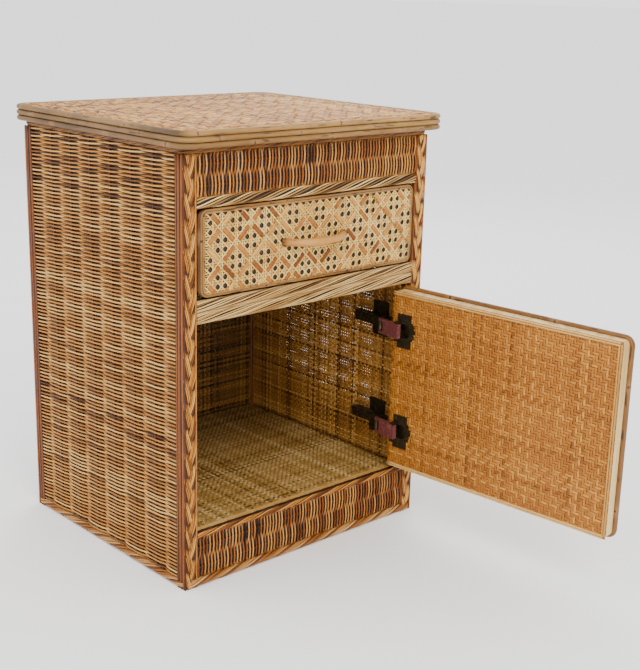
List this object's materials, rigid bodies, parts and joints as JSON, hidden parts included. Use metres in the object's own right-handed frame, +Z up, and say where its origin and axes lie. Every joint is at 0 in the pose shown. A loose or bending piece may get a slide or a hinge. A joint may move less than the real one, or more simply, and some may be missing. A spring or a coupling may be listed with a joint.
{
  "type": "nightstand with drawers",
  "caption": "Woven rattan nightstand with a cane-fronted drawer above a hinged cupboard door, rod-edged top, braided posts and concealed hinges.",
  "frame": {"origin": "centre of the cabinet's underside, on the ground, not counting the open door", "axes": "+X to the cabinet's right seen from the front, +Y to its back, +Z up; the front faces -Y"},
  "size_m": [0.465, 0.7517, 0.6],
  "materials": {
    "reed_weave": "round reed, plain weave, satin lacquer",
    "front_weave": "dark and light reeds, lacquered",
    "braid": "plaited reed, satin lacquer",
    "rattan_rod": "peeled rattan rod with scorched nodes, satin lacquer",
    "cane": "fine split cane, open weave",
    "mat_weave": "flat woven cane mat, satin",
    "board": "plain board, unfinished",
    "stake": "dark stake, sealed in the weave",
    "hinge_steel": "dark bronze, worn",
    "link_metal": "coppery plated steel"
  },
  "bodies": {
    "cabinet": {"post_front_left": "rattan_rod", "post_front_right": "rattan_rod", "post_back_left": "rattan_rod", "post_back_right": "rattan_rod", "post_wrap_front_left": "braid", "post_wrap_front_right": "braid", "post_wrap_back_left": "braid", "post_wrap_back_right": "braid", "base_frame": "board", "floor_frame": "rattan_rod", "drawer_frame": "rattan_rod", "top_frame": "rattan_rod", "side_weave_left": "reed_weave", "side_weave_right": "reed_weave", "back_weave": "reed_weave", "fascia_weave": "front_weave", "plinth_weave": "front_weave", "side_stakes": "stake", "back_stakes": "stake", "front_stakes": "stake", "base_braid": "braid", "floor_edge_braid": "braid", "lower_rail_braid": "braid", "upper_rail_braid": "braid", "top_border": "braid", "top_board": "board", "top_mat": "mat_weave", "top_rod_lower": "rattan_rod", "top_rod_middle": "rattan_rod", "top_rod_upper": "rattan_rod", "cabinet_floor": "board", "floor_mat": "mat_weave", "cabinet_ceiling": "board", "lining_left": "cane", "lining_right": "cane", "lining_back": "cane", "drawer_runner_left": "board", "drawer_runner_right": "board", "hinge_arm_upper": "hinge_steel", "hinge_arm_lower": "hinge_steel"},
    "drawer": {"drawer_front_board": "board", "drawer_cane": "cane", "drawer_edging_outer": "rattan_rod", "drawer_edging_inner": "rattan_rod", "drawer_handle": "rattan_rod", "drawer_side_left": "board", "drawer_side_right": "board", "drawer_back": "board", "drawer_bottom": "board"},
    "door": {"door_board": "board", "door_cane": "cane", "door_lining": "mat_weave", "door_edging_outer": "rattan_rod", "door_edging_inner": "rattan_rod", "door_trim": "cane", "door_handle": "rattan_rod", "hinge_cup_upper": "hinge_steel", "hinge_cup_lower": "hinge_steel"},
    "hinge_links": {"hinge_link_upper": "link_metal", "hinge_link_lower": "link_metal"}
  },
  "joints": [
    {"name": "drawer_slide", "type": "slide", "parent": "cabinet", "child": "drawer", "axis": [0, -1, 0], "range_m": [0, 0.25]},
    {"name": "door_swing", "type": "hinge", "parent": "cabinet", "child": "door", "pos_m": [0.1805, -0.184, 0.217], "axis": [0, 0, 1], "range_deg": [-95, 0]},
    {"name": "link_swing", "type": "hinge", "parent": "cabinet", "child": "hinge_links", "pos_m": [0.16, -0.16, 0.217], "axis": [0, 0, 1], "range_deg": [-95, 0]}
  ],
  "couplings": [
    {"joint": "link_swing", "follows": "door_swing", "ratio": 1}
  ]
}
